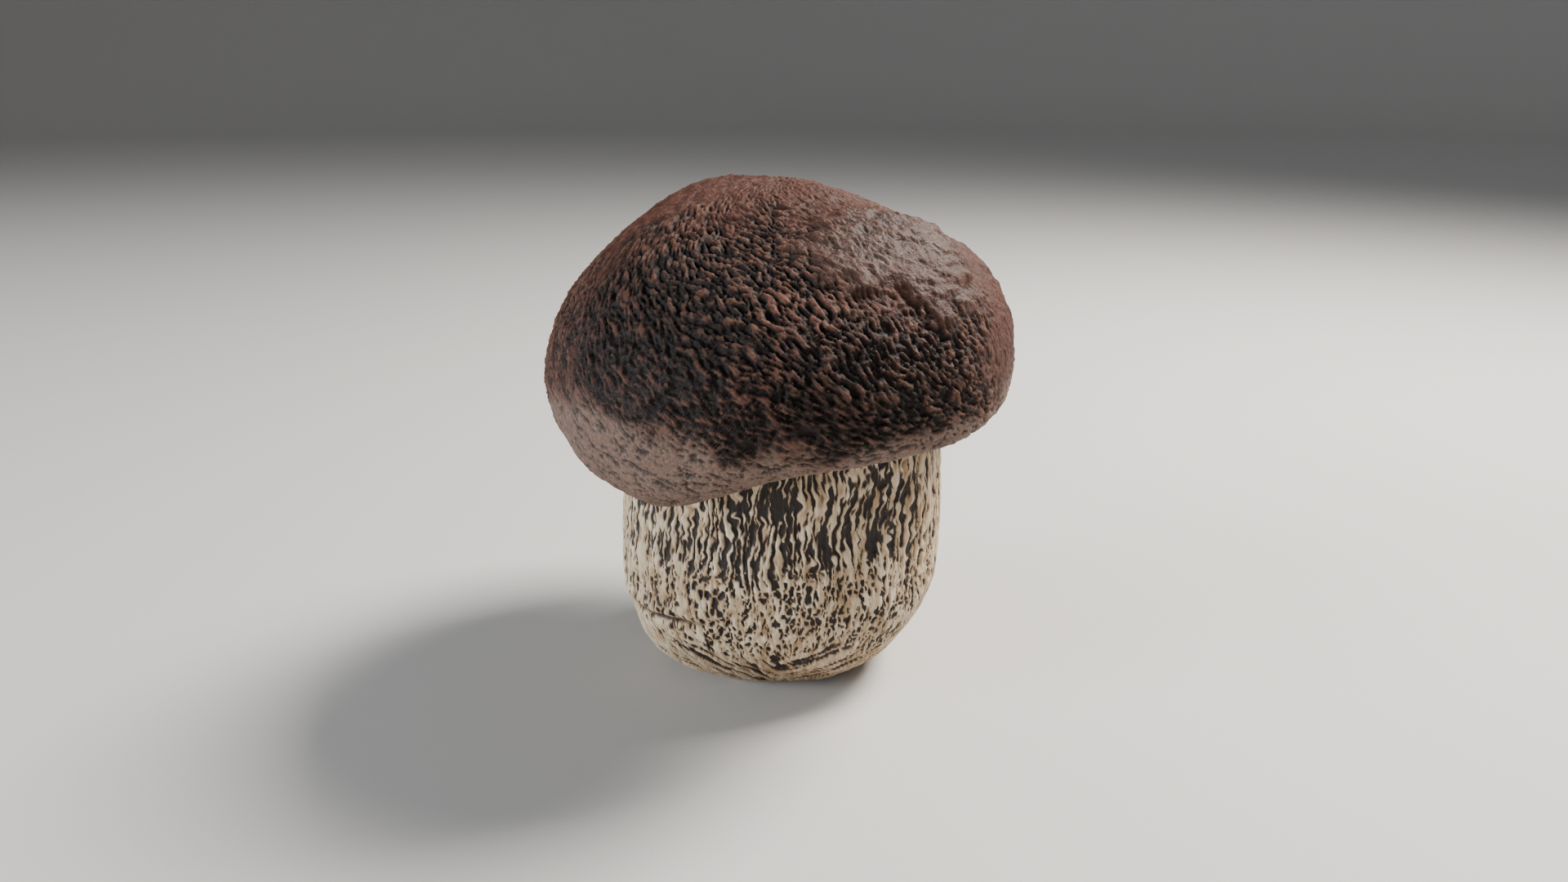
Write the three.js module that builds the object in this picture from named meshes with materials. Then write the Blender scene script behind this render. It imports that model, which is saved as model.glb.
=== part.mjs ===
import * as THREE from "three";

// A whole closed-cap portobello mushroom, standing on the flat cut foot of its stem.
// Millimetres, +Z up. The origin is the centre of the foot, and the front is towards -Y.
//
// Each piece is first turned as a body of revolution about an upright axis. Shared growth rules
// then make its rings uneven, curl and drop the cap's margin, tilt the cap and lean the axis.
// Neighbouring surfaces move together, so the clearances between the pieces are kept.

// Stem
const FOOT_RADIUS = 11.5; // flat face that the mushroom stands on
const BELLY_RADIUS = 23.7; // widest ring of the stem
const BELLY_HEIGHT = 18;
const BELLY_ROUNDNESS = 1.7; // curve from foot to belly: 2 is an ellipse, less is straighter
const TAPER_END = 45.6; // height where the stem has narrowed to its neck
const STEM_HEIGHT = 52; // up to the face that the cap sits on

// Cap
const RIM_RADIUS = 35.5; // widest ring of the cap
const CAP_OVERHANG = 14; // how far the rim stands out past the stem's neck
const CROWN_RISE = 27.2; // rim up to the top of the dome
const DOME_ROUNDNESS = 0.945; // 1 is an ellipse, less is fuller
const MARGIN_DROP = 6.8; // rim down to the lowest line of the lip
const MARGIN_INSET = 5.4; // how far the lip turns in below the rim
const LIP_WIDTH = 3.3; // thickness of the rolled lip, measured inwards
const LIP_ROUNDING = 2.2; // height over which the lip's inner edge is rounded
const RIM_FLESH = 4; // cap wall between the rim and the gill chamber
const CHAMBER_RISE = 4.2; // rim up to the flat ceiling of the gill chamber
const CHAMBER_CORNER = 4; // how far the ceiling's round corner reaches in
const CHAMBER_WAIST = -0.6; // height of the chamber's widest ring, from the rim

// Gills
const GILL_COUNT = 64;
const GILL_ROOT = 1.1; // blade thickness where it hangs from its layer
const GILL_EDGE = 0.7; // blade thickness at its free lower edge
const GILL_DEPTH = 6.1; // blade height below the layer
const GILL_LAYER = 1; // thickness of the layer that the blades hang from
const GILL_NOTCH = 1.6; // how far each blade's lower edge starts beyond its root, near the stem
const VALLEY_SHARE = 0.04; // share of a blade's depth left at the valley beside it

// Clearances
const SEAT_GAP = 0.3; // stem top to cap
const GILL_GAP = 0.3; // gills to the walls of their chamber
const STEM_GAP = 1.2; // gills to stem, which they don't touch

// Growth: how far a ring departs from a circle, as [waves around, cosine part, sine part]
const STEM_WAVES = [
  [2, 0.75, 0],
  [3, 0, -0.75],
];
const CAP_WAVES = [
  [1, -1.7, -0.85],
  [2, -0.7, -0.2],
  [3, -0.4, 0.3],
];
const NECK_OFFSET = new THREE.Vector2(2.7, -1.4); // axis at the rim's height, from the origin
const CROWN_LEAN = new THREE.Vector2(-0.064, -0.02); // sideways drift for each mm above the rim
const CAP_TILT = new THREE.Vector2(0.109, -0.015); // rise of the cap for each mm outwards
const LIP_CURL = 2.25; // how much less the lip turns in on the right, and more on the left
const LOBE = { drop: 4.6, towards: -122, spread: 20 }; // drooping tongue of the margin, degrees
const SWELLS = [
  { rise: -4.4, towards: 0, fromTop: 42, spread: 24 }, // flattened right shoulder
  { rise: 2.4, towards: 155, fromTop: 28, spread: 22 }, // high crown, back left
  { rise: -1.5, towards: 205, fromTop: 95, spread: 22 }, // pinched left rim
];
const SKIN_FROM = 0.9; // share of the way out to the skin below which the swells don't reach

// Worked out from the sizes above
const NECK_RADIUS = RIM_RADIUS - CAP_OVERHANG;
const RIM_HEIGHT = STEM_HEIGHT + SEAT_GAP - CHAMBER_RISE;
const LIP_RADIUS = RIM_RADIUS - MARGIN_INSET;
const OPENING_RADIUS = LIP_RADIUS - LIP_WIDTH;
const CHAMBER_RADIUS = RIM_RADIUS - RIM_FLESH;
const CHAMBER_FLOOR = LIP_ROUNDING - MARGIN_DROP; // where the lip's inner edge meets the chamber
const GILL_TOP = CHAMBER_RISE - GILL_GAP;
const GILL_LAYER_BOTTOM = GILL_TOP - GILL_LAYER;
const GILL_BOTTOM = GILL_LAYER_BOTTOM - GILL_DEPTH;

// Facets
const CAP_SEGMENTS = 64;
const STEM_SEGMENTS = 56;
const DOME_STEPS = 13;
const MARGIN_STEPS = 5;
const LIP_STEPS = 3;
const WALL_STEPS = 4; // above the chamber's widest ring, and as many below
const BELLY_STEPS = 9;
const TAPER_STEPS = 5;

const { degToRad, lerp, smoothstep } = THREE.MathUtils;

// Points of a curve for shares 0 to 1 of its length; "first" leaves out points already placed.
function curve(steps, first, at) {
  const points = [];
  for (let i = first; i <= steps; i++) {
    points.push(at(i / steps));
  }
  return points;
}

function stemProfile() {
  const belly = curve(BELLY_STEPS, 0, (share) => {
    const height = 1 - Math.cos((share * Math.PI) / 2);
    const bulge = (1 - (1 - height) ** BELLY_ROUNDNESS) ** (1 / BELLY_ROUNDNESS);
    return new THREE.Vector2(lerp(FOOT_RADIUS, BELLY_RADIUS, bulge), height * BELLY_HEIGHT);
  });
  const taper = curve(TAPER_STEPS, 1, (share) => {
    const radius = lerp(BELLY_RADIUS, NECK_RADIUS, share * share);
    return new THREE.Vector2(radius, lerp(BELLY_HEIGHT, TAPER_END, share));
  });
  return [
    new THREE.Vector2(0, 0),
    ...belly,
    ...taper,
    new THREE.Vector2(NECK_RADIUS, STEM_HEIGHT),
    new THREE.Vector2(0, STEM_HEIGHT),
  ];
}

// Radius of the gill chamber's wall at a height above the rim.
function chamberRadius(z) {
  if (z < CHAMBER_WAIST) {
    const down = (CHAMBER_WAIST - z) / (CHAMBER_WAIST - CHAMBER_FLOOR);
    return lerp(OPENING_RADIUS, CHAMBER_RADIUS, Math.sqrt(Math.max(0, 1 - down * down)));
  }
  const up = (z - CHAMBER_WAIST) / (CHAMBER_RISE - CHAMBER_WAIST);
  return CHAMBER_RADIUS - CHAMBER_CORNER * (1 - Math.sqrt(Math.max(0, 1 - up * up)));
}

function capProfile() {
  const wall = curve(2 * WALL_STEPS, 0, (share) => {
    const level = Math.cos(share * Math.PI);
    const reach = level > 0 ? CHAMBER_RISE - CHAMBER_WAIST : CHAMBER_WAIST - CHAMBER_FLOOR;
    const z = CHAMBER_WAIST + level * reach;
    return new THREE.Vector2(chamberRadius(z), z);
  });
  const lip = curve(LIP_STEPS, 1, (share) => {
    const turn = ((1 - share) * Math.PI) / 2;
    const radius = LIP_RADIUS - LIP_WIDTH * Math.sin(turn);
    return new THREE.Vector2(radius, -MARGIN_DROP + LIP_ROUNDING * (1 - Math.cos(turn)));
  });
  const margin = curve(MARGIN_STEPS, 1, (share) => {
    const turn = ((1 - share) * Math.PI) / 2;
    return new THREE.Vector2(LIP_RADIUS + MARGIN_INSET * Math.cos(turn), -MARGIN_DROP * Math.sin(turn));
  });
  const dome = curve(DOME_STEPS, 1, (share) => {
    const turn = (share * Math.PI) / 2;
    const radius = RIM_RADIUS * Math.cos(turn) ** DOME_ROUNDNESS;
    return new THREE.Vector2(radius, CROWN_RISE * Math.sin(turn) ** DOME_ROUNDNESS);
  });
  return [new THREE.Vector2(0, CHAMBER_RISE), ...wall, ...lip, ...margin, ...dome];
}

// Radius that keeps the gills clear of the wall sideways and, where it curves, above and below.
function gillRadius(z) {
  return Math.min(chamberRadius(z - GILL_GAP), chamberRadius(z + GILL_GAP)) - GILL_GAP;
}

function gillProfile() {
  const inner = NECK_RADIUS + STEM_GAP;
  const outer = gillRadius(GILL_BOTTOM);
  const notched = inner + GILL_NOTCH;
  return [
    new THREE.Vector2(inner, GILL_TOP),
    new THREE.Vector2(inner, GILL_LAYER_BOTTOM),
    new THREE.Vector2(notched, GILL_BOTTOM),
    new THREE.Vector2((notched + outer) / 2, GILL_BOTTOM),
    new THREE.Vector2(outer, GILL_BOTTOM),
    new THREE.Vector2(gillRadius(CHAMBER_WAIST), CHAMBER_WAIST),
    new THREE.Vector2(gillRadius(GILL_LAYER_BOTTOM), GILL_LAYER_BOTTOM),
    new THREE.Vector2(gillRadius(GILL_TOP), GILL_TOP),
    new THREE.Vector2(inner, GILL_TOP),
  ];
}

// Four stations make one blade: its two faces, and the two sides of the valley after it.
const GILL_STATIONS = 4;

// Moves a point of the turned ring sideways onto its blade, or up into its valley.
function pleat(point, station) {
  const blade = Math.floor((station + 1) / GILL_STATIONS) % GILL_COUNT;
  const place = (station + 1) % GILL_STATIONS;
  const inValley = place === 0 || place === GILL_STATIONS - 1;
  const side = place < GILL_STATIONS / 2 ? -1 : 1;
  const thickness = inValley ? GILL_ROOT : GILL_EDGE;
  point.angle = (blade * 2 * Math.PI) / GILL_COUNT + (side * thickness) / 2 / point.radius;
  if (!inValley || point.z >= GILL_LAYER_BOTTOM) {
    return;
  }
  const layerRadius = gillRadius(GILL_LAYER_BOTTOM);
  const beyond = Math.max(0, point.radius - layerRadius);
  point.radius -= beyond * (1 - VALLEY_SHARE);
  point.z = lerp(GILL_LAYER_BOTTOM, point.z, VALLEY_SHARE);
}

// Height of each wave of a ring at an angle, added up.
function waviness(waves, angle) {
  return waves.reduce(
    (sum, [count, cosine, sine]) =>
      sum + cosine * Math.cos(count * angle) + sine * Math.sin(count * angle),
    0,
  );
}

// How far the swells lift a point of the cap outwards. The gill chamber stays as it is.
function swelling({ radius, angle, z }) {
  const inDome = Math.hypot(radius / RIM_RADIUS, Math.max(z, 0) / CROWN_RISE);
  const onSkin = smoothstep(inDome, SKIN_FROM, 1) * smoothstep(z, -MARGIN_DROP, 0);
  const fromTop = Math.atan2(radius, z);
  return SWELLS.reduce((sum, swell) => {
    const centre = degToRad(swell.fromTop);
    const cosine =
      Math.sin(centre) * Math.sin(fromTop) * Math.cos(angle - degToRad(swell.towards)) +
      Math.cos(centre) * Math.cos(fromTop);
    const away = Math.acos(THREE.MathUtils.clamp(cosine, -1, 1)) / degToRad(swell.spread);
    return sum + onSkin * swell.rise * Math.exp(-away * away);
  }, 0);
}

// Swells the skin, curls the lip in or out and drops the lobe. Heights are above the rim.
function shapeCap(point) {
  const distance = Math.hypot(point.radius, point.z);
  const swell = distance > 0 ? swelling(point) / distance : 0;
  const below = THREE.MathUtils.clamp(-point.z / MARGIN_DROP, 0, 1);
  const outwards = smoothstep(point.radius, NECK_RADIUS, OPENING_RADIUS);
  point.radius += point.radius * swell;
  point.z += point.z * swell;
  point.radius += LIP_CURL * Math.cos(point.angle) * below * below * outwards;
  const turned = point.angle - degToRad(LOBE.towards);
  const away = Math.atan2(Math.sin(turned), Math.cos(turned)) / degToRad(LOBE.spread);
  point.z -= LOBE.drop * Math.exp(-away * away) * smoothstep(below, 0, 1) * outwards;
}

// The place of a point once its ring is uneven, the cap is tilted and the axis leans.
// The height is above the foot. Inside the neck's radius the rings follow the stem's waves.
function grow({ radius, angle, z }) {
  const share = smoothstep(radius, NECK_RADIUS, RIM_RADIUS);
  const wave = lerp(
    waviness(STEM_WAVES, angle) / NECK_RADIUS,
    waviness(CAP_WAVES, angle) / RIM_RADIUS,
    share,
  );
  const x = radius * (1 + wave) * Math.cos(angle);
  const y = radius * (1 + wave) * Math.sin(angle);
  const tilted = smoothstep(z, BELLY_HEIGHT, RIM_HEIGHT - MARGIN_DROP);
  const neck = Math.min(z / RIM_HEIGHT, 1);
  const above = Math.max(z - RIM_HEIGHT, 0);
  return new THREE.Vector3(
    x + NECK_OFFSET.x * neck + CROWN_LEAN.x * above,
    y + NECK_OFFSET.y * neck + CROWN_LEAN.y * above,
    z + tilted * (CAP_TILT.x * x + CAP_TILT.y * y),
  );
}

// Turns a profile about +Z and moves each of its points by the rule "shape".
function turned(profile, segments, shape) {
  const geometry = new THREE.LatheGeometry(profile, segments);
  geometry.rotateX(Math.PI / 2);
  const position = geometry.getAttribute("position");
  const uv = geometry.getAttribute("uv");
  for (let i = 0; i < position.count; i++) {
    const point = {
      radius: Math.hypot(position.getX(i), position.getY(i)),
      angle: Math.atan2(position.getY(i), position.getX(i)),
      z: position.getZ(i),
    };
    const place = shape(point, Math.round(uv.getX(i) * segments));
    position.setXYZ(i, place.x, place.y, place.z);
  }
  geometry.computeVertexNormals();
  return geometry;
}

function growCap(point) {
  shapeCap(point);
  point.z += RIM_HEIGHT;
  return grow(point);
}

function growGills(point, station) {
  pleat(point, station);
  return growCap(point);
}

function piece(name, geometry, color, roughness) {
  const material = new THREE.MeshStandardMaterial({ color, roughness, metalness: 0 });
  const mesh = new THREE.Mesh(geometry, material);
  mesh.name = name;
  return mesh;
}

const mushroom = new THREE.Group();
mushroom.add(piece("stem", turned(stemProfile(), STEM_SEGMENTS, grow), 0xb9a283, 0.85));
mushroom.add(piece("cap", turned(capProfile(), CAP_SEGMENTS, growCap), 0x3a2119, 0.55));
const gillRing = turned(gillProfile(), GILL_COUNT * GILL_STATIONS, growGills);
mushroom.add(piece("gills", gillRing, 0x4a3026, 0.8));

export default mushroom;
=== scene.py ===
import itertools
import math

import bpy
import numpy as np
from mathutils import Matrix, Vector
from mathutils.bvhtree import BVHTree


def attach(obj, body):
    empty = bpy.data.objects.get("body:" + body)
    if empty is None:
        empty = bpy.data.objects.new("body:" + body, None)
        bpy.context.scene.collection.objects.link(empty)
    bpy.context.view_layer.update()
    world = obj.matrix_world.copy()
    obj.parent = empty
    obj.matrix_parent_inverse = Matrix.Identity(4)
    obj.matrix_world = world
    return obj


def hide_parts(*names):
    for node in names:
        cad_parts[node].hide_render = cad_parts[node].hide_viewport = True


# A closed-cap portobello mushroom. The skins are cast from the CAD nodes' own surfaces, so they
# keep their size and place, and all the relief is then modelled on them. Shapes are worked out
# in millimetres and scaled to metres when a mesh is made.
MM = 0.001
FAR = 100.0  # mm, further than any surface from the middle

# Skins: columns around, and rows from the first pole to the last
CONTROL_COLUMNS = 96
CAP_COLUMNS = 960
CAP_SKIN_ROWS = 280
CAP_INNER_ROWS = 26
STEM_COLUMNS = 1000
STEM_LOWER_ROWS = 130
STEM_UPPER_ROWS = 120
STEM_TOP_ROWS = 6

# Gill blades
GILL_COUNT = 232
GILL_THICKNESS = 0.36
GILL_REACH = 0.15  # how far a blade runs into the flesh it grows from
GILL_STARTS = (0, 0.62, 0.3, 0.7)  # where each blade of a set of four starts, stem to wall
GILL_DEPTH = 6.2
GILL_WALL_SHARE = 0.45  # share of the depth left where a blade meets the wall

# Camera: it looks at a point inside the mushroom, from the front and a little above
CAMERA_TARGET = Vector((1.7, 0.0, 35.8)) * MM
CAMERA_DISTANCE = 166.7 * MM
CAMERA_ELEVATION = math.radians(18.5)
CAMERA_VERTICAL_ANGLE = math.radians(45)

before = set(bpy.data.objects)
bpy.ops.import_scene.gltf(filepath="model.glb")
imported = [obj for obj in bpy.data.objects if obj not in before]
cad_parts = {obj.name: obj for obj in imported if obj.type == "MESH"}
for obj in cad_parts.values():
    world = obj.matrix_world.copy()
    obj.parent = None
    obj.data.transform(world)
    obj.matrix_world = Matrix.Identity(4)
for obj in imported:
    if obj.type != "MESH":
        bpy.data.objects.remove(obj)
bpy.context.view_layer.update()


# ---- Noise and blending ----


def smooth(low, high, value):
    """0 up to low, 1 from high on, and a smooth step between."""
    share = np.clip((value - low) / (high - low), 0, 1)
    return share * share * (3 - 2 * share)


def mix(first, second, share):
    return first + (second - first) * share


def unit(vectors):
    return vectors / np.maximum(np.linalg.norm(vectors, axis=-1, keepdims=True), 1e-9)


GRADIENTS = unit(np.random.default_rng(11).normal(size=(256, 3)))
NOISE_SPREAD = 0.27  # about how far gradient noise strays from its mean

# Odd numbers that scatter the keys of cells
AXIS_PRIMES = np.array([73856093, 19349663, 83492791], dtype=np.uint64)
SEED_PRIME = 7919
MIXERS = (np.uint64(0x9E3779B97F4A7C15), np.uint64(0xBF58476D1CE4E5B9))

SPOT_SHIFTS = (0, 10, 20)  # bits of a cell's number that place its spot along x, y and z
SPOT_STEPS = 1023


def scramble(key, seed):
    """A well-mixed whole number for each key."""
    mixed = (key + np.uint64(seed * SEED_PRIME + 17)) * MIXERS[0]
    mixed = (mixed ^ (mixed >> np.uint64(29))) * MIXERS[1]
    return mixed >> np.uint64(32)


def cell_keys(cell, steps):
    """Each axis's share of a cell's key, for the cell itself and for its neighbours at steps."""
    whole = cell.astype(np.int64)
    return [
        {step: (whole[..., k] + step).astype(np.uint64) * AXIS_PRIMES[k] for step in steps}
        for k in range(3)
    ]


def noise(points, seed):
    """Gradient noise with one feature to a unit, scaled to spread about 1 from its mean of 0."""
    cell = np.floor(points)
    part = points - cell
    fade = part**3 * (part * (part * 6 - 15) + 10)
    weights = (1 - fade, fade)
    keys = cell_keys(cell, (0, 1))
    total = np.zeros(points.shape[:-1])
    for i, j, k in itertools.product((0, 1), repeat=3):
        number = scramble(keys[0][i] ^ keys[1][j] ^ keys[2][k], seed)
        gradient = GRADIENTS[number & np.uint64(len(GRADIENTS) - 1)]
        weight = weights[i][..., 0] * weights[j][..., 1] * weights[k][..., 2]
        total += weight * np.einsum("...n,...n", gradient, part - (i, j, k))
    return total / NOISE_SPREAD


def streaks(points, flow, size, length, seed, taps=7):
    """Noise drawn out along flow: features are size across and about length long."""
    total = sum(
        noise((points + flow * (length * step)) / size, seed)
        for step in np.linspace(-0.5, 0.5, taps)
    )
    return total / np.std(total)


def cells(points, seed):
    """Distances to the nearest and second nearest of scattered points, one to a unit cube."""
    cell = np.floor(points)
    keys = cell_keys(cell, (-1, 0, 1))
    nearest = np.full(points.shape[:-1], np.inf)
    second = nearest.copy()
    for i, j, k in itertools.product((-1, 0, 1), repeat=3):
        number = scramble(keys[0][i] ^ keys[1][j] ^ keys[2][k], seed)
        bits = [(number >> np.uint64(shift)) & np.uint64(SPOT_STEPS) for shift in SPOT_SHIFTS]
        spot = np.stack(bits, axis=-1) / SPOT_STEPS
        away = np.linalg.norm(cell + (i, j, k) + spot - points, axis=-1)
        second = np.minimum(second, np.maximum(nearest, away))
        nearest = np.minimum(nearest, away)
    return nearest, second


def warped(points, size, strength, seed):
    """Places pushed about by noise of a size, so that what is drawn on them wanders."""
    push = np.stack([noise(points / size, seed + k) for k in range(3)], axis=-1)
    return points + strength * push


def line_of(field, width):
    """1 along the line where a field changes sign, and 0 away from it."""
    return np.exp(-((field / width) ** 2))


# ---- Grids ----


def spline(rows, at, loop):
    """Rows blended by a Catmull-Rom curve at the fractional row numbers in at."""
    base = np.floor(at).astype(int)
    t = (at - base).reshape((-1,) + (1,) * (rows.ndim - 1))
    picks = [base + step for step in (-1, 0, 1, 2)]
    count = len(rows)
    picks = [pick % count if loop else np.clip(pick, 0, count - 1) for pick in picks]
    a, b, c, d = (rows[pick] for pick in picks)
    curve = 2 * b + (c - a) * t + (2 * a - 5 * b + 4 * c - d) * t**2
    return 0.5 * (curve + (3 * b - a - 3 * c + d) * t**3)


def refine(control, at, columns):
    """A control grid of rows and looping columns, at finer rows and columns."""
    wide = spline(control.swapaxes(0, 1), np.arange(columns) * control.shape[1] / columns, True)
    return spline(wide.swapaxes(0, 1), at, False)


def grid_axes(points):
    """Unit directions along the rows' order, around the columns, and out of the surface."""
    around = unit(np.roll(points, -1, 1) - np.roll(points, 1, 1))
    along = unit(np.gradient(points, axis=0))
    out = unit(np.cross(along, around))
    around = unit(np.cross(out, along))
    return along, around, out


def bake_map(mesh, points):
    """Lays the grid out as one rectangle, so that its colours can be baked. The corners come in
    the order of the mesh's faces: the quads row by row, then the triangles around each pole."""
    columns = points.shape[1]
    steps = np.linalg.norm(np.diff(points, axis=0), axis=-1).mean(1)
    climb = np.cumsum([steps[0], *steps]) / (steps[0] + steps.sum() + steps[-1])
    left = np.arange(columns) / columns
    right = left + 1 / columns
    middle = (left + right) / 2
    quads = np.empty((len(points) - 1, columns, 4, 2))
    quads[..., 0] = np.stack([left, left, right, right], axis=-1)
    quads[..., 1] = np.stack([climb[:-1], climb[1:], climb[1:], climb[:-1]], axis=-1)[:, None]
    ends = np.empty((2, columns, 3, 2))
    ends[0, ..., 0] = np.stack([middle, left, right], axis=-1)
    ends[1, ..., 0] = np.stack([middle, right, left], axis=-1)
    ends[0, ..., 1] = (0, climb[0], climb[0])
    ends[1, ..., 1] = (1, climb[-1], climb[-1])
    layer = mesh.uv_layers.new(name="OFBake")
    layer.data.foreach_set("uv", np.concatenate([quads.ravel(), ends.ravel()]).astype(np.float32))


def grid_piece(name, points, start, end, fields):
    """A closed mesh in mm: rows of looping columns, with a pole before and after them."""
    rows, columns = points.shape[:2]
    places = np.vstack([points.reshape(-1, 3), start, end]) * MM
    number = np.arange(rows * columns).reshape(rows, columns)
    beside = np.roll(number, -1, 1)
    quads = np.stack([number[:-1], number[1:], beside[1:], beside[:-1]], axis=-1).reshape(-1, 4)
    first, last = rows * columns, rows * columns + 1
    poles = [(first, int(a), int(b)) for a, b in zip(number[0], beside[0])]
    poles += [(last, int(b), int(a)) for a, b in zip(number[-1], beside[-1])]
    mesh = bpy.data.meshes.new(name)
    mesh.from_pydata(places.tolist(), [], quads.tolist() + poles)
    bake_map(mesh, points)
    for key, field in fields.items():
        values = np.concatenate([field.ravel(), [field[0].mean(), field[-1].mean()]])
        layer = mesh.attributes.new(key, "FLOAT", "POINT")
        layer.data.foreach_set("value", values.astype(np.float32))
    return finish_piece(name, mesh)


def finish_piece(name, mesh):
    """A smooth-shaded object of a mesh, on the mushroom's one body."""
    mesh.validate()
    mesh.polygons.foreach_set("use_smooth", [True] * len(mesh.polygons))
    piece = bpy.data.objects.new(name, mesh)
    bpy.context.scene.collection.objects.link(piece)
    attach(piece, "root")
    return piece


# ---- Reading the CAD shapes ----

UPWARD = 0.9  # least upward part of the normal of a face that counts as the stem's top
LIP_RANGE = (90, 130)  # degrees from the top between which the lip is looked for
LIP_HALVINGS = 14


def cad_mesh(node):
    """A CAD node's corners in mm, its faces, and its faces' normals."""
    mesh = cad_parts[node].data
    corners = np.array([vertex.co for vertex in mesh.vertices]) / MM
    faces = [tuple(face.vertices) for face in mesh.polygons]
    return corners, faces, np.array([face.normal for face in mesh.polygons])


def stem_seat():
    """Centre of the stem's top face, and how much it rises for each mm along x and y."""
    corners, faces, normals = cad_mesh("stem")
    upward = [face for face, normal in zip(faces, normals) if normal[2] > UPWARD]
    top = corners[sorted({corner for face in upward for corner in face})]
    slopes = np.linalg.lstsq(np.c_[top[:, :2], np.ones(len(top))], top[:, 2], rcond=None)[0]
    low, high = top.min(0), top.max(0)
    centre = (low + high) / 2
    centre[2] = slopes @ [centre[0], centre[1], 1]
    return centre, slopes[:2]


SEAT, SLOPES = stem_seat()


def level(points):
    """Places in the cap's own upright frame, centred on the neck."""
    moved = points - [SEAT[0], SEAT[1], 0]
    moved[..., 2] -= moved[..., :2] @ SLOPES
    return moved


def unlevel(points):
    """Places in the part's frame, from the cap's own upright frame."""
    moved = points.copy()
    moved[..., 2] += moved[..., :2] @ SLOPES
    return moved + [SEAT[0], SEAT[1], 0]


def level_tree(node):
    """A CAD node's corners in the cap's own upright frame, and a tree of its faces for rays."""
    corners, faces, _ = cad_mesh(node)
    upright = level(corners)
    return upright, BVHTree.FromPolygons([Vector(corner) for corner in upright], faces)


def cast(tree, start, direction):
    """Where a ray first meets a tree's faces, or None."""
    hit = tree.ray_cast(Vector(start), Vector(direction), FAR)[0]
    return None if hit is None else np.array(hit)


AZIMUTHS = np.arange(CONTROL_COLUMNS) * 2 * math.pi / CONTROL_COLUMNS


def heading(azimuth, polar=math.pi / 2):
    """Unit direction at an azimuth from +X and an angle from straight up."""
    return np.array([
        math.sin(polar) * math.cos(azimuth),
        math.sin(polar) * math.sin(azimuth),
        math.cos(polar),
    ])


class CapShape:
    """The CAD cap as rays see it, in its own upright frame."""

    def __init__(self):
        corners, self.tree = level_tree("cap")
        reach = np.hypot(corners[:, 0], corners[:, 1])
        self.middle = np.array([0, 0, corners[reach.argmax(), 2]])
        self.ceiling = cast(self.tree, self.middle, (0, 0, 1))[2]

    def outside(self, azimuth, polar):
        direction = heading(azimuth, polar)
        return cast(self.tree, self.middle + direction * FAR, -direction)

    def inside(self, azimuth, height):
        return cast(self.tree, (0, 0, height), heading(azimuth))

    def lip_polar(self, azimuth):
        """The largest angle from the top at which the outer skin still lies."""
        seen, missed = (math.radians(angle) for angle in LIP_RANGE)
        for _ in range(LIP_HALVINGS):
            angle = (seen + missed) / 2
            if self.outside(azimuth, angle) is None:
                missed = angle
            else:
                seen = angle
        return seen


CAP = CapShape()


# ---- Cap ----

CAP_OUTER_CONTROLS = 34
CAP_INNER_CONTROLS = 8
LIP_STEP = 0.5  # mm that the inner skin starts above the lip and ends below the ceiling
CEILING_SHARES = (0.75, 0.4)  # rows across the ceiling, as shares of its radius
CROWN_ROWS = 4  # rows over which the relief grows from the crown's pole
LIP_FADE = (-4, 6)  # rows before and after the lip over which the skin turns into the underside
UNDER_SMOOTHING = 0.9  # share of the relief that the underside loses

# Zones of the cap's skin: azimuth and angle from the top of the middle, and spread, in degrees
ROUGH_ZONES = ((-113, 72, 38), (-165, 74, 27), (-70, 86, 25), (78, 82, 34))
# painted shade: the front left, and a band above the front of the margin, where it is nearly black
PAINTED_SHADE_ZONES = ((-124, 74, 30), (-92, 88, 16), (-70, 88, 16))  # where it is nearly black
ROUGH_FADE = (0.65, 1.4)  # shares of its spread between which a rough zone fades out
PAINTED_SHADE_FADE = (0.4, 1.35)
ZONE_WANDER = ((5, 9, 3), (3, 3.5, 4))  # degrees the edges wander, over how many mm, and a seed
SWELL_WANDER = 0.8  # share of it for the bulge's edge
MARGIN_WANDER = 0.3
# the bulge carries a painted sheen, a greyer, paler patch out to its sheen edge
SWELL = {"zone": (-58, 50), "edge": (16, 23), "sheen_edge": (6, 28), "rise": 0.8}  # bulge, front right
SWELL_SMOOTHING = 0.95  # share of the roughness that the bulge loses
# the pale margin is partly its own paler edge and partly painted light from below, and from the left
# where it climbs higher on the lower left lobe
MARGIN_EDGE = (91, 97.5)  # angles from the top between which the pale margin starts
PALE_LIT_SIDE = {"azimuth": -140, "spread": 34, "reach": 10}  # where the pale margin climbs higher
SPOTS = ((-142, 36), (-150, 41), (-154, 47), (-98, 30))  # small dark dents
SPOT_SPREAD = 2.0  # degrees
SPOT_DEPTH = 0.45  # mm

# Wrinkles' slant from straight down, in degrees: at the left, what the front adds and the right
# takes off again between two azimuths, and along the margin between two angles from the top
LEFT_SLANT = 15
FRONT_SLANT = {"amount": 35, "azimuths": (-160, -115)}
RIGHT_SLANT = {"amount": 25, "azimuths": (-95, -70)}
MARGIN_SLANT = {"amount": 72, "polars": (74, 100)}
CROWN_SLANT_FADE = (4, 32)  # angles from the top between which the slant grows

# Leather is a sum of three kinds of wrinkle, brought back to a spread of about 1
LEATHER_SHARES = {"lumps": 0.34, "strokes": 0.70, "grain": 0.48}
LEATHER_SPREAD = 0.915

# Relief: heights in mm for each unit of leather, and the depth of pits where it is lowest
ROUGH_RELIEF = {"wrinkle": 0.13, "pit": 0.24, "range": (0, -1.2)}
MARGIN_RELIEF = {"wrinkle": 0.06, "pit": 0.16, "range": (-0.35, -1.3)}
FINE_RELIEF = {"waves": 0.07, "swell_waves": 0.05, "grain": 0.035, "strokes": 0.04}
BROAD_RELIEF = 0.3
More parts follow.
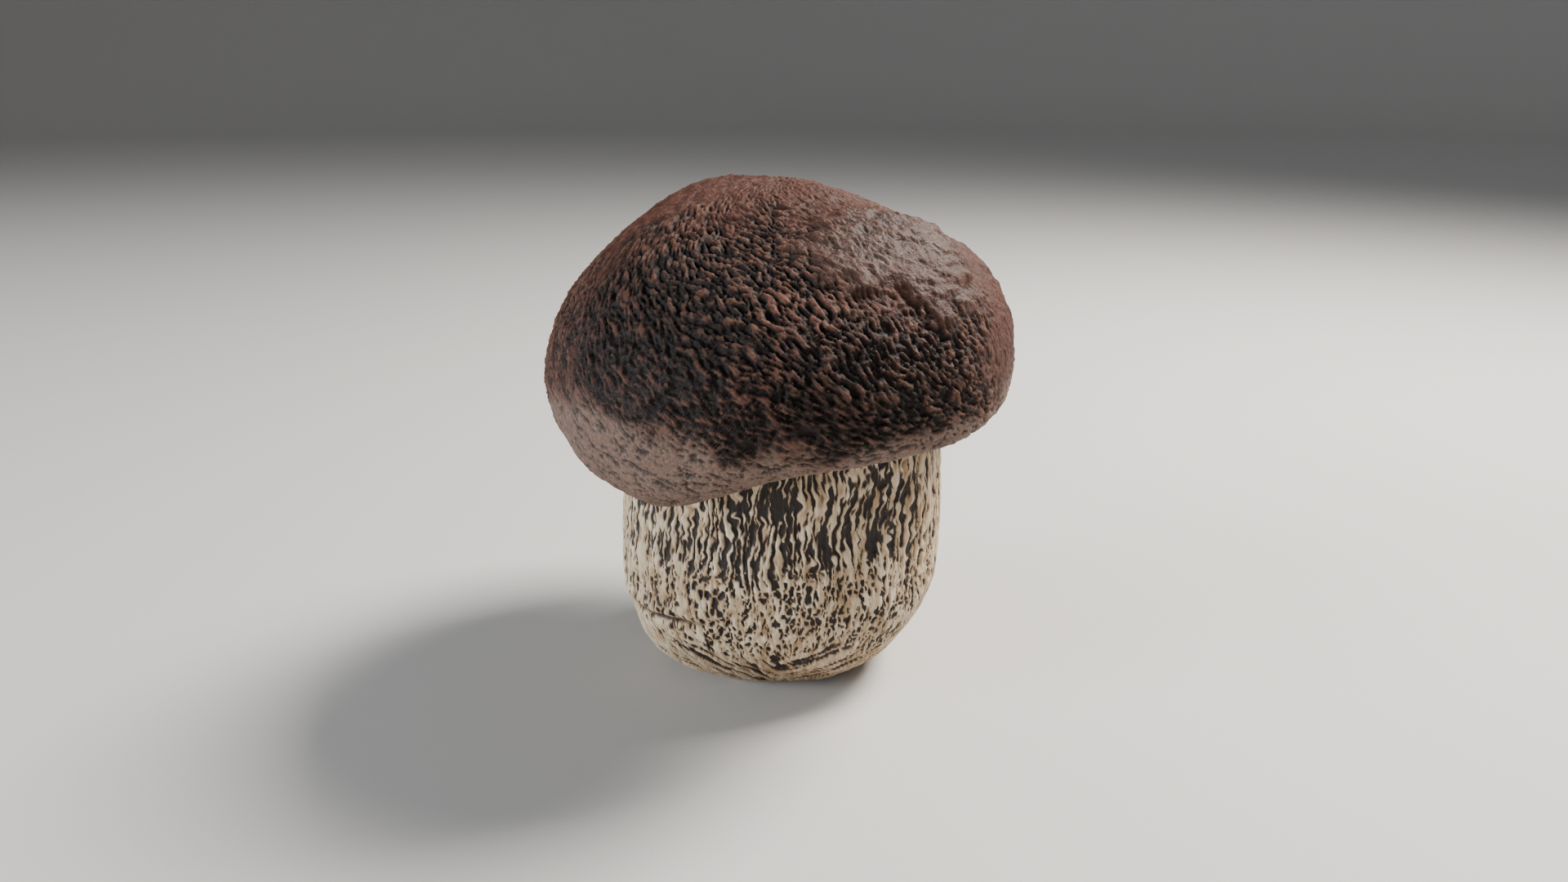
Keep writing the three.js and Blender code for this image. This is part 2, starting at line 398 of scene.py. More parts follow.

# Colour of the relief, painted shade in the low places and a painted highlight on the crests: the
# leather or waves between which a place turns dark or light, and the most that it does so on each kind
# of skin
ROUGH_LOW_SHADE = {"most": 1.0, "range": (0.5, -0.45)}
MARGIN_LOW_SHADE = {"most": 0.85, "range": (-0.3, -1.2)}
WAVES_LOW_SHADE = {"most": 0.35, "range": (-0.5, -1.6)}
FINE_LOW_SHADE = {"most": 0.3, "range": (-0.6, -1.8)}
# painted shade in the rough skin's low places spreads further inside the painted shade zones
PAINTED_SHADE_SHIFT = 0.4  # how much sooner the rough skin turns dark in the dark zones
# painted highlight on the wrinkles' crests: the leather over which it grows, and its share on margin and
# fine skin
CREST_HIGHLIGHT = {"range": (0.1, 1.7), "margin": 0.5, "fine": 0.35}


def away_from(directions, azimuth, polar):
    """Angle in degrees between directions and a place on the cap."""
    middle = heading(math.radians(azimuth), math.radians(polar))
    return np.degrees(np.arccos(np.clip(directions @ middle, -1, 1)))


def cap_controls():
    """The cap's control grid: down the outer skin, up the chamber's wall, across its ceiling."""
    columns = []
    for azimuth in AZIMUTHS:
        lip = CAP.lip_polar(azimuth)
        outer = [CAP.outside(azimuth, lip * share) for share in np.linspace(0, 1, CAP_OUTER_CONTROLS)]
        low, high = outer[-1][2] + LIP_STEP, CAP.ceiling - LIP_STEP
        inner = [CAP.inside(azimuth, z) for z in np.linspace(low, high, CAP_INNER_CONTROLS)]
        edge = inner[-1] * [1, 1, 0]
        across = [edge * share + [0, 0, CAP.ceiling] for share in CEILING_SHARES]
        columns.append(outer + inner + across)
    return np.array(columns).swapaxes(0, 1)


def zone_share(directions, zones, fade, wander):
    """1 inside any of the zones, fading out between two shares of its spread."""
    share = np.zeros(wander.shape)
    for azimuth, polar, spread in zones:
        away = away_from(directions, azimuth, polar) + wander
        share = np.maximum(share, 1 - smooth(fade[0] * spread, fade[1] * spread, away))
    return share


def cap_zones(points, directions, polar, azimuth):
    """Shares of each kind of skin, and of the painted shade and painted sheen, 0 to 1."""
    wander = sum(reach * noise(points / size, seed) for reach, size, seed in ZONE_WANDER)
    swell_away = away_from(directions, *SWELL["zone"]) + SWELL_WANDER * wander
    swell = 1 - smooth(*SWELL["edge"], swell_away)
    turned = np.degrees(azimuth) - PALE_LIT_SIDE["azimuth"]
    climb = PALE_LIT_SIDE["reach"] * np.exp(-((turned / PALE_LIT_SIDE["spread"]) ** 2))
    margin = smooth(*MARGIN_EDGE, polar + climb + MARGIN_WANDER * wander)
    rough = zone_share(directions, ROUGH_ZONES, ROUGH_FADE, wander)
    return {
        "rough": rough * (1 - SWELL_SMOOTHING * swell) * (1 - margin),
        "swell": swell,
        "painted_sheen": 1 - smooth(*SWELL["sheen_edge"], swell_away),
        "margin": margin,
        "painted_shade_zone": zone_share(directions, PAINTED_SHADE_ZONES, PAINTED_SHADE_FADE, wander) * (1 - margin),
    }


def between(azimuths, azimuth):
    """0 before the first of two azimuths in degrees and 1 after the second."""
    return smooth(math.radians(azimuths[0]), math.radians(azimuths[1]), azimuth)


def cap_flow(along, around, polar, azimuth):
    """Wrinkles run down at the left, slant across the middle, and turn along the margin."""
    slant = LEFT_SLANT + FRONT_SLANT["amount"] * between(FRONT_SLANT["azimuths"], azimuth)
    slant = slant - RIGHT_SLANT["amount"] * between(RIGHT_SLANT["azimuths"], azimuth)
    slant = slant * smooth(*CROWN_SLANT_FADE, polar)
    at_margin = smooth(*MARGIN_SLANT["polars"], polar)
    turn = np.radians(slant + (MARGIN_SLANT["amount"] - slant) * at_margin)[..., None]
    return along * np.cos(turn) + around * np.sin(turn)


def pitted(leather, relief):
    """Wrinkles in mm, with pits where they are lowest."""
    return relief["wrinkle"] * leather - relief["pit"] * smooth(*relief["range"], leather)


def painted_low_shade(field, look):
    """Painted shade in a field's low places, up to the look's most."""
    return look["most"] * smooth(*look["range"], field)


def painted_crevice_shade(zones, fine, leather, waves, spots):
    """Painted shade in the low places of every kind of skin, and the dark spots of the small dents, 0 to
    1.
    """
    dark = zones["rough"] * painted_low_shade(leather - PAINTED_SHADE_SHIFT * zones["painted_shade_zone"], ROUGH_LOW_SHADE)
    dark += zones["margin"] * painted_low_shade(leather, MARGIN_LOW_SHADE)
    dark += fine * (painted_low_shade(waves, WAVES_LOW_SHADE) + painted_low_shade(leather, FINE_LOW_SHADE))
    return np.clip(np.maximum(dark, spots), 0, 1)


def cap_relief(points, along, around, directions, polar, azimuth):
    """Height of the leathery skin's wrinkles in mm, and the fields that colour them, painted shade and
    highlights among them.
    """
    zones = cap_zones(points, directions, polar, azimuth)
    rough, swell, margin = (zones[key] for key in ("rough", "swell", "margin"))
    fine = (1 - rough) * (1 - margin)
    flow = cap_flow(along, around, polar, azimuth)
    bent = warped(points, size=4, strength=0.5, seed=21)
    lumps = streaks(bent, flow, size=1.05, length=2.2, seed=31)
    strokes = streaks(bent, flow, size=0.46, length=1.4, seed=32)
    grain = streaks(points, flow, size=0.34, length=0.6, seed=33, taps=3)
    leather = LEATHER_SHARES["lumps"] * lumps + LEATHER_SHARES["strokes"] * strokes
    leather = (leather + LEATHER_SHARES["grain"] * grain) / LEATHER_SPREAD
    waves = streaks(bent, unit(along + 2.2 * around), size=1.5, length=3.0, seed=34)
    spots = sum(np.exp(-((away_from(directions, *spot) / SPOT_SPREAD) ** 2)) for spot in SPOTS)
    height = rough * pitted(leather, ROUGH_RELIEF)
    height += margin * pitted(leather, MARGIN_RELIEF)
    wave_height = FINE_RELIEF["waves"] + FINE_RELIEF["swell_waves"] * swell
    small = FINE_RELIEF["grain"] * grain + FINE_RELIEF["strokes"] * strokes
    height += fine * (wave_height * waves + small)
    height += SWELL["rise"] * swell + BROAD_RELIEF * noise(points / 12, seed=35) - SPOT_DEPTH * spots
    crest_highlight = smooth(*CREST_HIGHLIGHT["range"], leather) * (rough + CREST_HIGHLIGHT["margin"] * margin + CREST_HIGHLIGHT["fine"] * fine)
    dark = painted_crevice_shade(zones, fine, leather, waves, spots)
    return height, {**zones, "crevice_shade_and_spots": dark, "fine": fine, "crest_highlight": crest_highlight}


def make_cap():
    control = cap_controls()
    ghost = np.roll(control[1], CONTROL_COLUMNS // 2, axis=0)  # the row beyond the crown's pole
    control = np.concatenate([ghost[None], control])
    skin = np.linspace(1, CAP_OUTER_CONTROLS, CAP_SKIN_ROWS + 1)[1:]
    inner = np.linspace(CAP_OUTER_CONTROLS, len(control) - 1, CAP_INNER_ROWS + 1)[1:]
    points = refine(control, np.concatenate([skin, inner]), CAP_COLUMNS)
    along, around, out = grid_axes(points)
    directions = unit(points - CAP.middle)
    polar = np.degrees(np.arccos(directions[..., 2]))
    azimuth = np.arctan2(directions[..., 1], directions[..., 0])
    height, fields = cap_relief(points, along, around, directions, polar, azimuth)
    row = np.arange(len(points))[:, None]
    under = smooth(CAP_SKIN_ROWS + LIP_FADE[0], CAP_SKIN_ROWS + LIP_FADE[1], row) + 0 * polar
    height *= 1 - UNDER_SMOOTHING * under
    height = mix(height[0].mean(), height, smooth(0, CROWN_ROWS, row))
    points = points + out * height[..., None]
    fields["under"] = under
    fields["margin"] *= 1 - under
    start = points[:1].mean(1)
    end = np.array([[0, 0, CAP.ceiling]])
    piece = grid_piece("cap_skin", unlevel(points), unlevel(start), unlevel(end), fields)
    piece.data.materials.append(cap_material())
    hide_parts("cap")


# ---- Stem ----

STEM_LOWER_CONTROLS = 24
STEM_UPPER_CONTROLS = 14
STEM_TOP_SHARES = (0.66, 0.33)  # rows across the top face, as shares of its radius
STEM_RIM_SHARE = 0.9  # share of the belly's radius out to which the top face's slope is followed
STEM_RIM_ROWS = 6  # rows over which the relief dies out below the top face
STEM_DRUM = 23.0  # mm, the radius that the fibres are spaced on
FOOT_LIFT = 0.02  # mm, the lowest that the cut face lies
HOLLOW_DEPTH = 0.12  # mm, of the hollows in the cut face
CUT_SMOOTHING = 0.85  # share of the relief that the cut face loses

# Heights between which each kind of surface starts or ends
FOOT_END = (5, 14)
NET_START = (5, 10)
NET_END = (20, 29)
CUT_END = (0.05, 1.0)
LEVEL_WANDER = 1.5  # mm that the foot's and net's edges wander up and down

FOLDS_FOLLOW = ((-100, -78), (40, 80))  # azimuths where folds start and stop following the outline
CREASE = {"azimuth": -146, "height": 14, "spread": 26, "depth": 0.9, "slope": 0.05}

# Relief in mm: of fibres, knots, hairs, the folds of the foot, and the stem's broad unevenness
STEM_RELIEF = {"fibre": 0.2, "knot": 0.05, "hair": 0.03, "fold": 0.12, "broad": 0.35}

SWAY = 0.014  # radians that the fibres wander around the stem
FLUTTER = 0.008  # radians that they waver more closely
RIDGE_SHARES = {"long": 0.78, "short": 0.5, "knots": 0.2, "hair": 0.14}
NET_CHANGES = {"long": -0.3, "short": 0.2}  # what the net adds to those shares
OPEN_SIDES = ((-92, 50, 1.0), (75, 60, 0.5))  # azimuth, spread and strength of the darker sides
OPENING = 0.45  # how much lower the ridges are on a dark side
RIDGE_BIAS = 0.30
STRAND_LEVEL = 0.95  # only the highest parts of the thin pale strands stand above the ridges
WEB_WIDTH = (0.02, 0.34)  # how far the net's threads reach from the border of two cells
NET_STRENGTH = 0.62  # share of the fibres that the net replaces
FOLD_STRENGTH = 0.92  # share of them that the foot's folds replace
# ridge levels between which the grooves turn to darker brown and painted shade
GROOVE_SHADE_RANGE = (0.3, -0.45)
FOLD_SLANTS = {"left": 0.035, "right": -0.09}  # radians turned for each mm up


def stem_controls():
    """The stem's control grid: up its round foot, up its side, and across its top face."""
    corners, faces, _ = cad_mesh("stem")
    tree = BVHTree.FromPolygons([Vector(c) for c in corners], faces)
    reach = np.hypot(corners[:, 0], corners[:, 1])
    waist = corners[reach.argmax(), 2]
    lean = np.array([SEAT[0], SEAT[1]]) / SEAT[2]
    middle = np.array([*(lean * waist), waist])
    columns = []
    for azimuth in AZIMUTHS:
        lower = []
        for share in np.linspace(0, 1, STEM_LOWER_CONTROLS):
            direction = heading(azimuth, math.pi - share * math.pi / 2)
            lower.append(cast(tree, middle + direction * FAR, -direction))
        rim = SEAT[2] + SLOPES @ (heading(azimuth)[:2] * reach.max()) * STEM_RIM_SHARE
        upper = []
        for z in np.linspace(waist, rim - LIP_STEP, STEM_UPPER_CONTROLS)[1:]:
            centre = np.array([*(lean * z), z])
            upper.append(cast(tree, centre + heading(azimuth) * FAR, -heading(azimuth)))
        edge = level(upper[-1][None])[0] * [1, 1, 0] + [0, 0, SEAT[2]]
        across = [unlevel((edge * [share, share, 1])[None])[0] for share in STEM_TOP_SHARES]
        columns.append(lower + upper + across)
    return np.array(columns).swapaxes(0, 1)


def on_drum(turn, climb, width, length):
    """Places on a drum of the stem's size, where a width around and a length up are one unit."""
    ring = STEM_DRUM / width
    return np.stack([ring * np.cos(turn), ring * np.sin(turn), climb / length], axis=-1)


def fibres(turn, climb, width, length, seed):
    """Noise drawn out up the stem: features are width across and length long."""
    return noise(on_drum(turn, climb, width, length), seed)


def foot_folds(turn, climb, azimuth):
    """Folds of the foot: slanting at the left, and following the outline at the right."""
    left_turn = turn + climb * FOLD_SLANTS["left"]
    left = 0.7 * fibres(left_turn, climb, width=1.15, length=5, seed=62)
    left += 0.7 * fibres(left_turn, climb, width=0.6, length=4, seed=66)
    right_turn = turn + climb * FOLD_SLANTS["right"]
    right = 0.8 * fibres(right_turn, climb, width=1.9, length=6, seed=67)
    right += 0.6 * fibres(right_turn, climb, width=1.0, length=5, seed=68)
    share = smooth(*FOLDS_FOLLOW[0], azimuth) * (1 - smooth(*FOLDS_FOLLOW[1], azimuth))
    return left * np.sqrt(1 - share) + right * np.sqrt(share)


def stem_zones(z, level_z, azimuth):
    """Shares of the net, the folded foot, the cut face, and the dark open sides."""
    net = smooth(*NET_START, level_z) * (1 - smooth(*NET_END, level_z))
    foot = 1 - smooth(*FOOT_END, level_z)
    cut = 1 - smooth(*CUT_END, z)
    opened = sum(
        strength * np.exp(-(((azimuth - middle) / spread) ** 2))
        for middle, spread, strength in OPEN_SIDES
    )
    return net, foot, cut, opened


def stem_crease(z, azimuth, wander):
    """The crease low at the left: its height in mm, and the painted shade along it."""
    turned = (azimuth - CREASE["azimuth"] + 180) % 360 - 180
    line = z - CREASE["height"] - CREASE["slope"] * turned - 0.35 * wander
    side = np.exp(-((turned / CREASE["spread"]) ** 2))
    lip, fold = line_of(line - 1.7, 1.0), line_of(line, 0.7)
    return CREASE["depth"] * side * (0.5 * lip - fold), side * line_of(line, 0.5)


def stem_relief(points):
    """Height of the fibres, net, folds and crease in mm, and the fields that colour them, painted shade
    in the grooves and crease among them.
    """
    z = points[..., 2]
    steps = np.linalg.norm(np.diff(points, axis=0, prepend=points[:1]), axis=-1)
    climb = np.cumsum(steps, axis=0)
    turn = np.arange(points.shape[1]) * 2 * math.pi / points.shape[1] + 0 * z
    azimuth = np.degrees((turn + math.pi) % (2 * math.pi) - math.pi)
    wander = fibres(turn, climb, width=7, length=7, seed=40)
    turn = turn + SWAY * fibres(turn, climb, width=3, length=6, seed=41)
    fold = foot_folds(turn, climb, azimuth)
    turn = turn + FLUTTER * fibres(turn, climb, width=1, length=1.3, seed=42)
    net, foot, cut, opened = stem_zones(z, z + LEVEL_WANDER * wander, azimuth)
    long = fibres(turn, climb, width=0.58, length=7.5, seed=51)
    short = fibres(turn, climb, width=0.4, length=1.7, seed=52)
    knots = fibres(turn, climb, width=1.1, length=3, seed=53)
    hair = fibres(turn, climb, width=0.3, length=1.6, seed=54)
    strands = fibres(turn, climb, width=0.46, length=3.5, seed=55)
    ridge = (RIDGE_SHARES["long"] + NET_CHANGES["long"] * net) * long
    ridge += (RIDGE_SHARES["short"] + NET_CHANGES["short"] * net) * short
    ridge += RIDGE_SHARES["knots"] * knots + RIDGE_SHARES["hair"] * hair
    ridge += OPENING * (1 - opened) - RIDGE_BIAS
    ridge = np.maximum(ridge, strands - STRAND_LEVEL)
    near, second = cells(on_drum(turn, climb, width=0.85, length=1.35), seed=61)
    web = 1 - smooth(*WEB_WIDTH, second - near)
    netted = np.maximum(ridge - 0.35, 1.7 * web - 0.75)
    ridge = mix(ridge, netted, NET_STRENGTH * net * (1 - foot))
    ridge = mix(ridge, 1.15 * fold + 0.2, FOLD_STRENGTH * foot)
    crease, crease_shade = stem_crease(z, azimuth, wander)
    height = STEM_RELIEF["fibre"] * np.tanh(1.6 * ridge) + STEM_RELIEF["knot"] * knots
    height += STEM_RELIEF["hair"] * hair + STEM_RELIEF["fold"] * foot * np.tanh(fold)
    height += crease + STEM_RELIEF["broad"] * noise(points / 11, seed=64)
    groove_brown_and_shade = smooth(*GROOVE_SHADE_RANGE, ridge) * (1 - 0.12 * foot)
    groove_brown_and_shade = np.maximum(groove_brown_and_shade, crease_shade) * (1 - cut)
    tone = smooth(-1.4, 1.4, knots + 0.6 * short)
    return height, {"groove_brown_and_shade": np.clip(groove_brown_and_shade, 0, 1), "foot": foot, "tone": tone, "cut": cut}


def make_stem():
    control = stem_controls()
    lower_end = STEM_LOWER_CONTROLS - 1
    upper_end = lower_end + STEM_UPPER_CONTROLS - 1
    rows = np.concatenate([
        np.linspace(0, lower_end, STEM_LOWER_ROWS + 1)[1:],
        np.linspace(lower_end, upper_end, STEM_UPPER_ROWS + 1)[1:],
        np.linspace(upper_end, len(control) - 1, STEM_TOP_ROWS + 1)[1:],
    ])
    points = refine(control, rows, STEM_COLUMNS)
    inward = grid_axes(points)[2]
    height, fields = stem_relief(points)
    row = np.arange(len(points))[:, None]
    rim_row = STEM_LOWER_ROWS + STEM_UPPER_ROWS
    height *= 1 - smooth(rim_row - STEM_RIM_ROWS, rim_row, row)
    height *= 1 - CUT_SMOOTHING * fields["cut"]
    points = points - inward * height[..., None]
    hollows = HOLLOW_DEPTH * fields["cut"] * np.abs(noise(points / 1.6, seed=65))
    points[..., 2] = np.maximum(points[..., 2], FOOT_LIFT + hollows)
    start = points[:1].mean(1)
    start[:, 2] = FOOT_LIFT
    end = points[-1:].mean(1)
    fields = {key: field[:, ::-1] for key, field in fields.items()}
    piece = grid_piece("stem_flesh", points[:, ::-1], start, end, fields)
    piece.data.materials.append(stem_material())
    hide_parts("stem")


# ---- Gills ----

GILL_LENGTH_STEPS = 12
GILL_HEIGHT_STEPS = 5
GILL_PROBE = 2.0  # mm below the ceiling where the ring's radii are measured
GILL_STEM_GAP = 1.6  # mm left between the longest blades and the stem
GILL_WALL_RUN = 3.0  # mm before the wall over which a blade gets shallower
GILL_RISE = (0.06, 1.7)  # depth at a blade's inner end, and how fast it grows outwards
GILL_SHORTENING = 0.3  # share of the depth that a blade starting right at the wall would lose
GILL_DEPTH_SPREAD = (0.94, 1.0)
GILL_TAPER = 0.6  # share of the thickness that is lost at the free edge
GILL_SWAY = 0.3  # mm
GILL_JITTER = 0.18  # share of the spacing that a blade may be off its place


def gill_span(azimuth, stem_tree):
    """Radii of the stem's side and of the chamber's wall, a little below the ceiling."""
    direction = heading(azimuth)
    height = CAP.ceiling - GILL_PROBE
    inner = cast(stem_tree, np.array([0, 0, height]) + direction * FAR, -direction)
    outer = CAP.inside(azimuth, height)
    return np.linalg.norm(inner[:2]), np.linalg.norm(outer[:2])


def blade(azimuth, start_share, rng, stem_tree):
    """One thin, slightly wavy blade from near the stem to the chamber's wall."""
    inner, outer = gill_span(azimuth, stem_tree)
    start = mix(inner + GILL_STEM_GAP, outer, start_share)
    sway = rng.uniform(-GILL_SWAY, GILL_SWAY)
    full = GILL_DEPTH * (1 - GILL_SHORTENING * start_share) * rng.uniform(*GILL_DEPTH_SPREAD)
    side = heading(azimuth + math.pi / 2)
    places = []
    for face in (-1, 1):
        for i in range(GILL_LENGTH_STEPS + 1):
            share = i / GILL_LENGTH_STEPS
            radius = mix(start, outer + GILL_REACH, share)
            at_wall = min(1.0, (outer - radius) / GILL_WALL_RUN + GILL_WALL_SHARE)
            rise = min(1.0, GILL_RISE[0] + GILL_RISE[1] * share)
            depth = full * math.sin(math.pi / 2 * rise) * at_wall
            for k in range(GILL_HEIGHT_STEPS + 1):
                down = k / GILL_HEIGHT_STEPS
                wave = sway * math.sin(share * 3.4 + 2 * down) * (0.3 + down)
                half = GILL_THICKNESS / 2 * (1 - GILL_TAPER * down)
                place = heading(azimuth) * radius + side * (wave + face * half)
                place[2] = CAP.ceiling + GILL_REACH - down * (depth + GILL_REACH)
                places.append(place)
    return np.array(places)


def blade_faces(first):
    """Quads that close a blade's two faces, and its rim between them."""
    long, tall = GILL_LENGTH_STEPS + 1, GILL_HEIGHT_STEPS + 1
    number = first + np.arange(2 * long * tall).reshape(2, long, tall)
    quads = []
    for i, k in itertools.product(range(long - 1), range(tall - 1)):
        corners = ((i, k), (i + 1, k), (i + 1, k + 1), (i, k + 1))
        quads.append([number[0, m, n] for m, n in corners[::-1]])
        quads.append([number[1, m, n] for m, n in corners])
    ring = [(i, 0) for i in range(long)] + [(long - 1, k) for k in range(1, tall)]
    ring += [(i, tall - 1) for i in range(long - 2, -1, -1)] + [(0, k) for k in range(tall - 2, 0, -1)]
    for (i, k), (m, n) in zip(ring, ring[1:] + ring[:1]):
        quads.append([number[0, i, k], number[0, m, n], number[1, m, n], number[1, i, k]])
    return quads


def make_gills():
    rng = np.random.default_rng(5)
    _, stem_tree = level_tree("stem")
    places, faces = [], []
    for i in range(GILL_COUNT):
        azimuth = (i + rng.uniform(-GILL_JITTER, GILL_JITTER)) * 2 * math.pi / GILL_COUNT
        faces += blade_faces(sum(len(p) for p in places))
        places.append(blade(azimuth, GILL_STARTS[i % len(GILL_STARTS)], rng, stem_tree))
    mesh = bpy.data.meshes.new("gill_blades")
    corners = (unlevel(np.vstack(places)) * MM).tolist()
    mesh.from_pydata(corners, [], [[int(n) for n in face] for face in faces])
    piece = finish_piece("gill_blades", mesh)
    piece.data.materials.append(gill_material())
    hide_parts("gills")


# ---- Materials ----

# Linear colours: one, or the two ends of a mottled kind of skin or flesh
CAP_BROWN = ((0.036, 0.012, 0.007), (0.070, 0.024, 0.013))
CAP_RUSSET = (0.084, 0.026, 0.014)
CAP_PLAIN = ((0.058, 0.018, 0.011), (0.094, 0.031, 0.018))
CAP_PAINTED_SHEEN = ((0.068, 0.038, 0.028), (0.112, 0.072, 0.056))
CAP_PAINTED_SHADE = (0.018, 0.007, 0.004)
CAP_MARGIN_PALE_AND_LIT = (0.235, 0.165, 0.130)
CAP_UNDER = (0.30, 0.20, 0.14)
CAP_SPECK = (0.012, 0.005, 0.004)
CAP_CREST_HIGHLIGHT = (0.180, 0.080, 0.050)
# painted shade for the low places of the relief
CAP_CREVICE_SHADE = (0.006, 0.003, 0.002)
STEM_CREAM = ((0.52, 0.40, 0.25), (0.78, 0.68, 0.52))
STEM_TAN = ((0.30, 0.18, 0.09), (0.50, 0.35, 0.20))
STEM_FOOT = (0.34, 0.24, 0.14)
STEM_CUT = ((0.20, 0.125, 0.07), (0.60, 0.47, 0.32))
# grooves: darker brown flesh, then near-black painted shade
STEM_GROOVE_BROWN_AND_SHADE = ((0.14, 0.082, 0.043), (0.011, 0.006, 0.004))
GILL_BROWN = ((0.085, 0.042, 0.030), (0.20, 0.115, 0.082))
FLOOR_COLOUR = (0.62, 0.61, 0.59, 1)


class Shader:
    """A Principled material, with short calls for the nodes that drive it."""

    def __init__(self, name, roughness):
        self.material = bpy.data.materials.new(name)
        self.material.use_nodes = True
        self.nodes = self.material.node_tree.nodes
        self.links = self.material.node_tree.links
        self.surface = self.nodes["Principled BSDF"]
        self.surface.inputs["Roughness"].default_value = roughness
        self.place = self.nodes.new("ShaderNodeTexCoord").outputs["Object"]

    def set(self, socket, value):
        self.surface.inputs[socket].default_value = value

    def feed(self, socket, value):
        self.links.new(value, self.surface.inputs[socket])

    def field(self, name):
        """A field that the mesh carries, 0 to 1."""
        node = self.nodes.new("ShaderNodeAttribute")
        node.attribute_name = name
        return node.outputs["Fac"]

    def share(self, name, most):
        """A field of the mesh, scaled so that its 1 is most."""
        return self.math("MULTIPLY", self.field(name), most)

    def noise(self, size, detail=4.0, stretch=(1, 1, 1)):
        """Noise with features of a size in mm, drawn out by stretch."""
        mapping = self.nodes.new("ShaderNodeMapping")
        mapping.inputs["Scale"].default_value = [1 / (size * MM * s) for s in stretch]
        self.links.new(self.place, mapping.inputs["Vector"])
        node = self.nodes.new("ShaderNodeTexNoise")
        node.inputs["Scale"].default_value = 1.0
        node.inputs["Detail"].default_value = detail
        node.inputs["Roughness"].default_value = 0.55
        self.links.new(mapping.outputs[0], node.inputs["Vector"])
        return node.outputs["Fac"]

    def ramp(self, value, low, high, start=0.0, end=1.0):
        """value from low..high mapped to start..end, clamped."""
        node = self.nodes.new("ShaderNodeMapRange")
        self.links.new(value, node.inputs["Value"])
        numbers = {"From Min": low, "From Max": high, "To Min": start, "To Max": end}
        for socket, number in numbers.items():
            node.inputs[socket].default_value = number
        return node.outputs[0]

    def math(self, operation, first, second):
        """An operation on two values, each a socket or a number."""
        node = self.nodes.new("ShaderNodeMath")
        node.operation = operation
        for socket, value in zip(node.inputs, (first, second)):
            if isinstance(value, (int, float)):
                socket.default_value = value
            else:
                self.links.new(value, socket)
        return node.outputs[0]

    def mix(self, first, second, share):
        """A colour between two, each a socket or three numbers, by a share that is a socket."""
        node = self.nodes.new("ShaderNodeMix")
        node.data_type = "RGBA"
        colour_sockets = [socket for socket in node.inputs if socket.type == "RGBA"]
        for socket, value in zip(colour_sockets, (first, second)):
            if isinstance(value, tuple):
                socket.default_value = (*value, 1)
            else:
                self.links.new(value, socket)
        self.links.new(share, node.inputs["Factor"])
        return next(socket for socket in node.outputs if socket.type == "RGBA")

    def bump(self, height, depth, under=None):
        """Fine relief of a depth in mm, over an earlier bump."""
        node = self.nodes.new("ShaderNodeBump")
        node.inputs["Distance"].default_value = depth * MM
        self.links.new(height, node.inputs["Height"])
        if under is not None:
            self.links.new(under, node.inputs["Normal"])
        return node.outputs[0]


def cap_material():
    s = Shader("cap_leather", 0.5)
    patch = s.ramp(s.noise(size=3.2, detail=5), 0.3, 0.7)
    broad = s.ramp(s.noise(size=14), 0.35, 0.65)
    brown = s.mix(*CAP_BROWN, patch)
    brown = s.mix(brown, CAP_RUSSET, s.math("MULTIPLY", broad, 0.5))
    # painted shade over the front left and the band above the margin
    brown = s.mix(brown, CAP_PAINTED_SHADE, s.share("painted_shade_zone", 0.8))
    skin = s.mix(brown, s.mix(*CAP_PLAIN, patch), s.field("fine"))
    # painted sheen: greyer, paler skin over the bulge
    skin = s.mix(skin, s.mix(*CAP_PAINTED_SHEEN, patch), s.share("painted_sheen", 0.68))
    # pale margin: partly its own paler edge, partly painted light from below and the left
    skin = s.mix(skin, CAP_MARGIN_PALE_AND_LIT, s.share("margin", 0.75))
    skin = s.mix(skin, CAP_UNDER, s.share("under", 0.85))
    specks = s.ramp(s.noise(size=0.45), 0.40, 0.54)
    shown = s.math("MINIMUM", s.math("SUBTRACT", 1.0, s.share("rough", 0.65)), 0.7)
    skin = s.mix(CAP_SPECK, skin, s.math("MAXIMUM", specks, shown))
    # painted highlight on the crests, fainter in the painted shade zones
    crest_highlight_share = s.math("SUBTRACT", 0.75, s.share("painted_shade_zone", 0.35))
    skin = s.mix(skin, CAP_CREST_HIGHLIGHT, s.math("MULTIPLY", s.field("crest_highlight"), crest_highlight_share))
    # painted shade in the low places of the relief, and the dark spots of the dents
    s.feed("Base Color", s.mix(skin, CAP_CREVICE_SHADE, s.share("crevice_shade_and_spots", 0.94)))
    dull = s.ramp(s.noise(size=0.9, detail=3), 0.3, 0.7, start=0.58, end=0.74)
    s.feed("Roughness", s.math("SUBTRACT", dull, s.share("painted_sheen", 0.14)))
    grain = s.bump(s.noise(size=0.55), depth=0.3)
    s.feed("Normal", s.bump(s.noise(size=0.22, detail=2), depth=0.06, under=grain))
    s.set("Specular IOR Level", 0.28)
    return s.material


